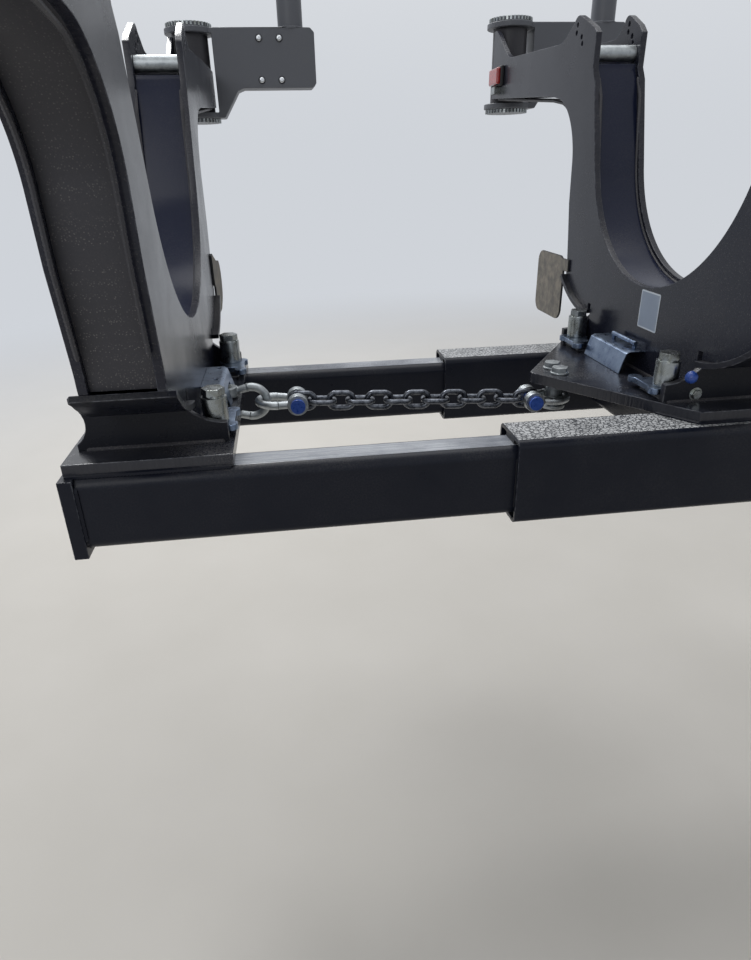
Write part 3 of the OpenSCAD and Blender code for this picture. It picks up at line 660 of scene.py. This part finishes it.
def copied(node_name):
    """The node's mesh with its triangles joined into whole faces."""
    bm = bmesh.new()
    bm.from_mesh(frame["nodes"][node_name].data)
    bmesh.ops.remove_doubles(bm, verts=bm.verts, dist=0.01 * MM)
    bmesh.ops.dissolve_limit(bm, angle_limit=math.radians(0.8), verts=bm.verts, edges=bm.edges)
    return bm


def round_edges(bm, radius, segments=2, angle=SHARP):
    """Bevels the edges that turn by more than the angle, and marks the new faces as rims."""
    rim = bm.faces.layers.float.new("rim")
    sharp = [e for e in bm.edges if len(e.link_faces) == 2 and e.calc_face_angle() > math.radians(angle)]
    made = bmesh.ops.bevel(bm, geom=sharp, offset=radius * MM, offset_type="OFFSET", segments=segments,
                           profile=0.5, affect="EDGES", clamp_overlap=False, loop_slide=True, material=-1)
    for face in made["faces"]:
        face[rim] = 1.0
    return len(sharp)


def dress(node_name, finish, radius, segments=2, angle=SHARP):
    """A copy of a CAD node that stands in for it, with edges rounded by radius, in mm."""
    bm = copied(node_name)
    round_edges(bm, radius, segments, angle)
    return finished("dressed_" + node_name, bm, finish, BODY_OF[node_name], [node_name])


sample = copied("mounting_plate")
print("the mounting plate has", round_edges(sample, 2.0), "sharp edges")
sample.free()

# %% [markdown]
# Rails
#
# The rails are rolled tube, so their long corners are round already, and only
# the edges of their sawn ends are rounded. A rail's flat top gets a second
# material: an outer rail's the anti-slip coating, with painted glints on its
# cells, and an inner one's the polished enamel, with a painted sheen.

# %% Rails
TOP_SKIN = 4 * MM
for side in ("right", "left"):
    for kind, coating in (("outer_rail_", ANTISLIP_WITH_PAINTED_GLINT), ("inner_rail_", SLID_ENAMEL)):
        rail = kind + side
        bm = copied(rail)
        round_edges(bm, 1.2)
        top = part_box(rail)[1].z
        for face in bm.faces:
            if face.normal.z > 0.99 and face.calc_center_median().z > top - TOP_SKIN:
                face.material_index = 1
        finished("dressed_" + rail, bm, [RAIL_ENAMEL, coating], BODY_OF[rail], [rail])
for name in ("mounting_plate", "cross_members", "end_plates"):
    dress(name, RAIL_ENAMEL, 2.0)
for name in ("mouth_pads", "inner_pads"):
    dress(name, NYLON, 1.0)

# %% [markdown]
# Beds, feet and bunks
#
# A bunk is two profiled plates with webs between them, which stands with its
# feet on a thick bed plate. The bunks' plates were cut through along X, the
# beds along Z and the feet along Y, and their enamels draw the cut lines that
# way. The cradle web, on which the logs lie, is glossy: bark polishes it.

# %% Beds, feet and bunks
BUNKS = ("front", "rear")
for end in BUNKS:
    dress(end + "_bed_plate", BED_ENAMEL, 2.0)
for end in BUNKS:
    bunk = end + "_bunk_"
    for name in ("rear_plate", "front_plate"):
        dress(bunk + name, BUNK_ENAMEL, 1.8)
    dress(bunk + "flange", FOOT_ENAMEL, 1.5)
    dress(bunk + "outer_webs", PLAIN_ENAMEL, 1.0)
    dress(bunk + "pivots", PLAIN_ENAMEL, 2.0)
    dress(bunk + "feet", FOOT_ENAMEL, 1.8)
    dress(bunk + "cradle_web", WEB_ENAMEL, 1.0)
    dress(bunk + "cross_pins", GALVANISED, 1.5)
bunk_pieces = [o.name for o in bpy.data.objects if o.name.startswith("dressed_") and "_bunk_" in o.name]
print(len(bunk_pieces), "bunk pieces")

# %% [markdown]
# Arms, clamps, chain and covers
#
# The swing arms are closed boxes, folded from thinner sheet, so their edges
# are rounder. The chain's links and the shackles are bent from round bar: only
# an edge that turns by more than usual is sharp there, and the angle says so.

# %% Arms, clamps, chain and covers
for corner in ("front_right", "front_left", "rear_right", "rear_left"):
    dress("arm_" + corner, ARM_ENAMEL, 3.0, 3)
    dress("stake_" + corner, ARM_ENAMEL, 1.5)
# the clamps and covers take zinc with a painted blue reflection
for end in BUNKS:
    dress(end + "_clamp_plates", ZINC_PAINTED_SKY_BLUE, 1.5)
    dress(end + "_clamp_bolts", ZINC, 1.2)
for name in ("joint_cover", "rear_joint_cover", "cover_strap"):
    dress(name, ZINC_PAINTED_SKY_BLUE, 0.8)
dress("ring_shackle_pin", ZINC, 0.8)
for name in ("front_shackle", "ring_shackle", "chain_shackle"):
    dress(name, GALVANISED, 1.5, angle=50)
dress("spool", GALVANISED, 1.2)
dress("chain_links", CHAIN_STEEL, 0.5, angle=80)
for name in ("front_shackle_pin", "chain_shackle_pin"):
    dress(name, BLUE_ENAMEL, 1.0)

# %% [markdown]
# Marker panels
#
# A marker panel is a stiff sheet with a black rubber rim pressed over its
# edge. Its two broad faces look along X, so a face's direction tells which of
# the two materials it gets.

# %% Marker panels
for name in ("marker_panel", "rear_panel"):
    bm = copied(name)
    round_edges(bm, 1.0)
    for face in bm.faces:
        face.material_index = 0 if abs(face.normal.x) > 0.95 else 1
    finished("dressed_" + name, bm, [MUDDY_SHEET, RUBBER], BODY_OF[name], [name])
print("marker panels on", BODY_OF["marker_panel"], "and", BODY_OF["rear_panel"])

# %% [markdown]
# Weld beads
#
# Every joint between the plates is a fillet weld: the welder's small circles
# freeze one behind the other as ripples. A bead could be painted on with a
# bump, but its swell catches light along its whole length. So a ring of six
# points is extruded along the joint in short steps, and is scaled up and down
# by turns. Half of each bead lies inside the plates that it joins. The beads
# of a body are one piece, under the same enamel as its plates.

# %% Weld beads: the tool
RIPPLE = 3.2
CREST, TROUGH, TAPER = 1.1, 0.9, 0.55


def even_steps(corners, step):
    """Points along a polyline, about a step apart."""
    points = [corners[0].copy()]
    for a, b in zip(corners, corners[1:]):
        count = max(1, round((b - a).length / step))
        points += [a.lerp(b, i / count) for i in range(1, count + 1)]
    return points


def add_to(target, bm):
    """Adds a bmesh to the target bmesh and frees it."""
    mesh = bpy.data.meshes.new("loose")
    bm.to_mesh(mesh)
    bm.free()
    target.from_mesh(mesh)
    bpy.data.meshes.remove(mesh)


def bead(target, corners, radius):
    """Lays one bead along a polyline and adds it to the target bmesh. The radius is in mm."""
    path = even_steps([Vector(c) for c in corners], RIPPLE * MM)
    ahead = [(b - a).normalized() for a, b in zip(path, path[1:])]
    swell = [TAPER] + [TROUGH if i % 2 else CREST for i in range(1, len(path) - 1)] + [TAPER]
    bm = bmesh.new()
    bmesh.ops.create_circle(bm, segments=6, radius=radius * MM * swell[0], matrix=facing(path[0], ahead[0]))
    edges = list(bm.edges)
    for i in range(1, len(path)):
        grown = bmesh.ops.extrude_edge_only(bm, edges=edges)["geom"]
        edges = [g for g in grown if isinstance(g, bmesh.types.BMEdge) and g.is_boundary]
        turn = ahead[max(i - 2, 0)].rotation_difference(ahead[i - 1]).to_matrix().to_4x4()
        shift = (Matrix.Translation(path[i]) @ turn @ Matrix.Scale(swell[i] / swell[i - 1], 4)
                 @ Matrix.Translation(-path[i - 1]))
        bmesh.ops.transform(bm, matrix=shift, verts=[g for g in grown if isinstance(g, bmesh.types.BMVert)])
    bmesh.ops.holes_fill(bm, edges=[e for e in bm.edges if e.is_boundary])
    bmesh.ops.recalc_face_normals(bm, faces=bm.faces)
    add_to(target, bm)


sample = bmesh.new()
bead(sample, [(0, 0, 0), (0.1, 0, 0)], 4.0)
print("a bead of 100 mm has", len(sample.faces), "faces")
sample.free()

# %% [markdown]
# The bunks' beads
#
# Inside a bunk, the cradle web and the outer webs are welded to both plates,
# and outside, the plates and the feet to the bed. The outlines are those of
# the webs, in millimetres across the machine and above the bed, and the
# plates' own boxes say where along the machine they go.

# %% Weld beads: the bunks
WEB_BEAD, PLATE_BEAD, FOOT_BEAD = 4.0, 4.5, 5.0
FOOT_PLATE = 16 * MM
FOOT_RUN = (-60, 198)


def arc(centre, radius, start, end, count):
    """Points on an arc, with angles in degrees."""
    angles = [math.radians(start + (end - start) * i / count) for i in range(count + 1)]
    return [(centre[0] + radius * math.cos(a), centre[1] + radius * math.sin(a)) for a in angles]


CRADLE = [(396, 655), (373, 610)] + arc((0, 533), 352, -14, -166, 60) + [(-373, 610), (-396, 655)]
FLANK = [(462, 218), (473, 275), (488, 353)] + arc((671, 443), 178, 180, 104, 30) + [(700, 627), (1268, 678)]
TUBE_SEAM = [(1276, 690), (1276, 790)]
PLATE_SEAM = [(-252, 0), (252, 0)]


def bunk_beads(end):
    """The beads of the bunk at one end of the frame."""
    bm = bmesh.new()
    rear_plate, front_plate = (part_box(end + "_bunk_" + name) for name in ("rear_plate", "front_plate"))
    rear_face, bed = rear_plate[0].x, rear_plate[0].z
    foot_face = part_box(end + "_bunk_feet")[1].y

    def lay(x, outline, radius, side=1):
        bead(bm, [(x, side * y * MM, bed + z * MM) for y, z in outline], radius)

    for x in (rear_plate[1].x, front_plate[0].x):
        lay(x, CRADLE, WEB_BEAD)
        for side in (-1, 1):
            lay(x, FLANK, WEB_BEAD, side)
            lay(x, TUBE_SEAM, WEB_BEAD, side)
    for side in (-1, 1):
        for y in (foot_face - FOOT_PLATE, foot_face):
            bead(bm, [(rear_face + run * MM, side * y, bed) for run in FOOT_RUN], FOOT_BEAD)
    for x in (rear_face, front_plate[1].x):
        lay(x, PLATE_SEAM, PLATE_BEAD)
    return bm


for end in BUNKS:
    bm = bunk_beads(end)
    print(end, "bunk beads:", len(bm.faces), "faces")
    finished("weld_beads_" + end + "_bunk", bm, PLAIN_ENAMEL, BODY_OF[end + "_bunk_feet"])

# %% [markdown]
# The rails' beads
#
# A bed plate is welded along its edges on the rails, and the front one also
# along its tongue, where that crosses the rail. A rail is welded all round to
# the plate at its end, and the bead passes each of its corners in one straight
# step. A bead's middle lies half a millimetre off the plate, so that none of
# its faces coincides with the plate's.

# %% Weld beads: the rails
RAIL_BEAD, END_BEAD, LIFT = 5.0, 5.5, 0.5 * MM
TONGUE_EDGE = [(-968.7, 266), (-915.8, 343), (-668, 343)]
OUTER_CORNER, INNER_CORNER = 16 * MM, 22 * MM
REAR_GAP, FRONT_GAP = 3 * MM, 4 * MM


def round_rail(target, rail, x, corner, radius):
    """A bead right round a rail, at the place x along the machine."""
    low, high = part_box(rail)
    middle, wide = (low.y + high.y) / 2, (high.y - low.y) / 2
    flat = wide - corner
    outline = [(-wide, low.z + corner), (-wide, high.z - corner), (-flat, high.z), (flat, high.z),
               (wide, high.z - corner), (wide, low.z + corner), (flat, low.z), (-flat, low.z),
               (-wide, low.z + corner)]
    bead(target, [(x, middle + y, z) for y, z in outline], radius)


front_bed, rear_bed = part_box("front_bed_plate"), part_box("rear_bed_plate")
bm = bmesh.new()
for side in (-1, 1):
    bead(bm, [(x * MM, side * y * MM, front_bed[0].z + LIFT) for x, y in TONGUE_EDGE], RAIL_BEAD)
for side in ("right", "left"):
    round_rail(bm, "outer_rail_" + side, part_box("mounting_plate")[0].x - LIFT, OUTER_CORNER, RAIL_BEAD)
finished("weld_beads_outer_rails", bm, RAIL_ENAMEL, "load_frame")
bm = bmesh.new()
for y in (rear_bed[0].y, rear_bed[1].y):
    z = rear_bed[0].z + LIFT
    bead(bm, [(rear_bed[0].x + REAR_GAP, y, z), (rear_bed[1].x - FRONT_GAP, y, z)], RAIL_BEAD)
for side in ("right", "left"):
    round_rail(bm, "inner_rail_" + side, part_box("end_plates")[1].x + LIFT, INNER_CORNER, END_BEAD)
print("rail beads:", len(bm.faces), "faces on the sliding rails")
finished("weld_beads_sliding_rails", bm, RAIL_ENAMEL, "sliding_frame")

# %% [markdown]
# Turned parts
#
# Bolt heads, caps and plugs are turned on a lathe, and Blender's lathe is the
# spin operator: half an outline, a few points long, goes round its axis once.
# The points are pairs of radius and height, in millimetres, and a spin in only
# six steps gives a hexagon.

# %% Turned parts: the tool


def turned(target, outline, place, axis, segments=24):
    """Spins an outline about an axis and adds it to the target bmesh."""
    bm = bmesh.new()
    points = [bm.verts.new((r * MM, 0, h * MM)) for r, h in outline]
    for a, b in zip(points, points[1:]):
        bm.edges.new((a, b))
    bmesh.ops.spin(bm, geom=bm.verts[:] + bm.edges[:], cent=(0, 0, 0), axis=(0, 0, 1), angle=math.tau,
                   steps=segments, use_merge=True)
    bmesh.ops.remove_doubles(bm, verts=bm.verts, dist=0.01 * MM)
    bmesh.ops.recalc_face_normals(bm, faces=bm.faces)
    bmesh.ops.transform(bm, matrix=facing(place, axis), verts=bm.verts)
    add_to(target, bm)


WASHER_TOP = 1.4
WASHER = [(0, -1), (12.5, -1), (12.5, 0.8), (11.7, WASHER_TOP), (0, WASHER_TOP)]
BUTTON = [(0, 0), (9.5, 0), (9.5, 2.4), (8.6, 4.4), (6.4, 5.8), (3.4, 6.2), (3.2, 3.2), (0, 3.0)]
print("a button head stands", max(h for _, h in BUTTON), "mm high")

# %% [markdown]
# Ring nuts
#
# The pivot pins are held by slotted ring nuts, whose slots take the spanner.
# A ring nut starts as a disc with 72 sides, drawn up to its height. Every
# second face of its side is then drawn out as a tooth, and its top is inset
# and let in, which leaves the ring's wall.

# %% Ring nuts: the tool
RING_SIDES = 72
RING_RADIUS, RING_HEIGHT, TOOTH, RING_WALL, RING_RECESS = 75.0, 12, 4.0, 11, 2.5


def slotted_ring(target, place, up):
    """Adds a ring nut to the target bmesh. up is 1 where its top looks up, and -1 where down."""
    bm = bmesh.new()
    bmesh.ops.create_circle(bm, cap_ends=True, segments=RING_SIDES, radius=RING_RADIUS * MM)
    top = bmesh.ops.extrude_face_region(bm, geom=bm.faces[:])["geom"]
    bmesh.ops.translate(bm, vec=(0, 0, RING_HEIGHT * MM),
                        verts=[g for g in top if isinstance(g, bmesh.types.BMVert)])
    bmesh.ops.recalc_face_normals(bm, faces=bm.faces)
    side = [f for f in bm.faces if abs(f.normal.z) < 0.5]
    side.sort(key=lambda f: math.atan2(f.normal.y, f.normal.x))
    for face in bmesh.ops.extrude_discrete_faces(bm, faces=side[::2])["faces"]:
        bmesh.ops.translate(bm, vec=face.normal * TOOTH * MM, verts=face.verts)
    lid = [f for f in bm.faces if f.normal.z > 0.9 and len(f.verts) > 20]
    bmesh.ops.inset_region(bm, faces=lid, thickness=RING_WALL * MM, use_even_offset=True)
    bmesh.ops.translate(bm, vec=(0, 0, -RING_RECESS * MM), verts=list({v for f in lid for v in f.verts}))
    bmesh.ops.transform(bm, matrix=facing(place, (0, 0, up)), verts=bm.verts)
    bmesh.ops.recalc_face_normals(bm, faces=bm.faces)
    add_to(target, bm)


sample = bmesh.new()
slotted_ring(sample, (0, 0, 0), 1)
print("a ring nut has", RING_SIDES // 2, "teeth and", len(sample.faces), "faces")
sample.free()

# %% [markdown]
# What the arms carry
#
# On its inner side, each arm carries four button-head bolts with a rubber
# washer under each, and its stake is welded into its top plate. The joints of
# the record say where the pivots are, and the rest is measured from them, in
# millimetres. An arm carries these pieces with it as it swings, so they ride
# on its body.

# %% Ring nuts, arm bolts and stake welds
RING_OFFSET = 140.8
BOLTS_ALONG, BOLTS_UP, ARM_FACE = (241, 312), (-21, 106), 45


def stake_weld(arm):
    """The bead round the foot of a stake, on the top plate of its arm."""
    low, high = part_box("stake_" + arm)
    top = max(v.co.z for v in frame["nodes"]["arm_" + arm].data.vertices if v.co.x > low.x)
    foot = arc(((low.x + high.x) / 2, (low.y + high.y) / 2), (high.x - low.x) / 2 + LIFT, 0, 360, 36)
    bm = bmesh.new()
    bead(bm, [(x, y, top) for x, y in foot], RAIL_BEAD)
    return bm


for joint in record["behaviour"]["joints"]:
    body = joint["child"]
    if not body.startswith("stake_arm_"):
        continue
    arm = body.removeprefix("stake_arm_")
    pivot, inwards = Vector(joint["pos_m"]), Vector((0, -joint["axis"][2], 0))
    rings, heads, washers = bmesh.new(), bmesh.new(), bmesh.new()
    for up in (1, -1):
        slotted_ring(rings, pivot + Vector((0, 0, up * RING_OFFSET * MM)), up)
    for along in BOLTS_ALONG:
        for height in BOLTS_UP:
            place = pivot + Vector((along, 0, height)) * MM + inwards * ARM_FACE * MM
            turned(washers, WASHER, place, inwards)
            turned(heads, BUTTON, place + inwards * WASHER_TOP * MM, inwards)
    finished("weld_bead_stake_" + arm, stake_weld(arm), ARM_ENAMEL, body)
    finished("ring_nuts_" + arm, rings, ZINC, body)
    finished("arm_bolts_" + arm, heads, BRIGHT_ZINC, body)
    finished("arm_washers_" + arm, washers, RUBBER, body)
    print("ring nuts and bolts of the", arm.replace("_", " "), "arm")

# %% [markdown]
# Plug and screw on the front foot
#
# The right foot of the front bunk carries a domed blue plug and, below it, a
# hexagon screw on a washer. Both are turned parts that stand on the foot's
# outer face, and their places are measured from the foot's lower rear corner.

# %% Plug and screw
DOME = [(0, -1), (13, -1), (13, 2), (12, 7), (9.5, 11), (5, 13.5), (0, 14.5)]
FOOT_WASHER = [(0, -1), (14, -1), (14, 1.8), (0, 1.8)]
HEXAGON = [(0, 1), (10.5, 1), (10.5, 7.2), (9.3, 8.6), (0, 8.6)]
outwards = (0, -1, 0)
foot_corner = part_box("front_bunk_feet")[0]
plug_at = foot_corner + Vector((53, 0, 53)) * MM
screw_at = foot_corner + Vector((70, 0, 16)) * MM
bm = bmesh.new()
turned(bm, DOME, plug_at, outwards, 28)
finished("blue_plug", bm, BLUE_ENAMEL, "load_frame")
bm = bmesh.new()
turned(bm, FOOT_WASHER, screw_at, outwards, 28)
turned(bm, HEXAGON, screw_at, outwards, 6)
finished("foot_screw", bm, ZINC, "load_frame")
print("plug", round((plug_at - screw_at).length / MM), "mm from the screw")

# %% [markdown]
# Marker lamps
#
# A marker lamp is three parts: a black rubber housing on the plate, a red
# lens that bulges out of it, and a small steel bracket under it. Each is a
# box whose edges are rounded, and the lens far more than the others. The CAD
# node is the plain box of both lamps, and its corners place the parts.

# %% Marker lamps
LAMP_LENGTH, HOUSING_DEPTH, LENS_SEAT, LENS_RIM = 112 * MM, 13 * MM, 11 * MM, 5 * MM
BRACKET_HALF, BRACKET_DROP, BRACKET_BACK, CLEAR = 20 * MM, 24 * MM, 2.5 * MM, 1 * MM


def block(target, low, high, radius, segments=3):
    """A box with rounded edges, added to the target bmesh."""
    bm = bmesh.new()
    bmesh.ops.create_cube(bm, size=1.0)
    bmesh.ops.scale(bm, vec=Vector(high) - Vector(low), verts=bm.verts)
    bmesh.ops.translate(bm, vec=(Vector(high) + Vector(low)) / 2, verts=bm.verts)
    bmesh.ops.bevel(bm, geom=bm.edges[:], offset=radius * MM, offset_type="OFFSET", segments=segments,
                    profile=0.5, affect="EDGES", material=-1)
    add_to(target, bm)


low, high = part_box("marker_lamps")
lenses, housings, brackets = bmesh.new(), bmesh.new(), bmesh.new()
for side in (-1, 1):
    near, far = sorted((side * (high.y - LAMP_LENGTH), side * high.y))
    middle = (near + far) / 2
    block(housings, (high.x - HOUSING_DEPTH, near, low.z), (high.x, far, high.z), 4.0)
    block(lenses, (low.x, near + LENS_RIM, low.z + LENS_RIM),
          (high.x - LENS_SEAT, far - LENS_RIM, high.z - LENS_RIM), 6.0, 4)
    block(brackets, (low.x + BRACKET_BACK, middle - BRACKET_HALF, low.z - BRACKET_DROP),
          (high.x + LIFT, middle + BRACKET_HALF, low.z - CLEAR), 1.0, 2)
finished("marker_lamp_lenses", lenses, RED_LENS, "load_frame", ["marker_lamps"])
finished("marker_lamp_housings", housings, RUBBER, "load_frame")
finished("marker_lamp_brackets", brackets, ZINC, "load_frame")
print("marker lamps", round(LAMP_LENGTH / MM), "mm long")

# %% [markdown]
# Blank label
#
# The label on the front bunk is a thin film with a paler border, and it stays
# blank. A grid of one face gets round corners, the border is inset, and
# solidify gives the film its thickness. inset_region leaves an open border
# alone unless it is told to use the boundary.

# %% Blank label
LABEL_SIZE, LABEL_CORNER, LABEL_BORDER, FILM = (84 * MM, 86 * MM), 4 * MM, 3.5 * MM, 0.4 * MM
plate_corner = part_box("front_bunk_rear_plate")[0]
label_at = (plate_corner.x - FILM / 2, -47 * MM, plate_corner.z + 143.5 * MM)
bm = bmesh.new()
bmesh.ops.create_grid(bm, x_segments=1, y_segments=1, size=0.5)
bmesh.ops.scale(bm, vec=(*LABEL_SIZE, 1), verts=bm.verts)
bmesh.ops.bevel(bm, geom=bm.verts[:], offset=LABEL_CORNER, offset_type="OFFSET", segments=3,
                profile=0.5, affect="VERTICES", material=-1)
bmesh.ops.inset_region(bm, faces=bm.faces[:], thickness=LABEL_BORDER, use_even_offset=True,
                       use_boundary=True)
bmesh.ops.solidify(bm, geom=bm.faces[:], thickness=-FILM)
bmesh.ops.recalc_face_normals(bm, faces=bm.faces)
film_area = max(face.calc_area() for face in bm.faces)
for face in bm.faces:
    face.material_index = 0 if face.calc_area() > 0.9 * film_area else 1
bmesh.ops.transform(bm, matrix=facing(label_at, (-1, 0, 0)), verts=bm.verts)
finished("blank_label", bm, [LABEL_FILM, LABEL_EDGE], "load_frame")
print("label film of", round(film_area / MM ** 2), "square mm")
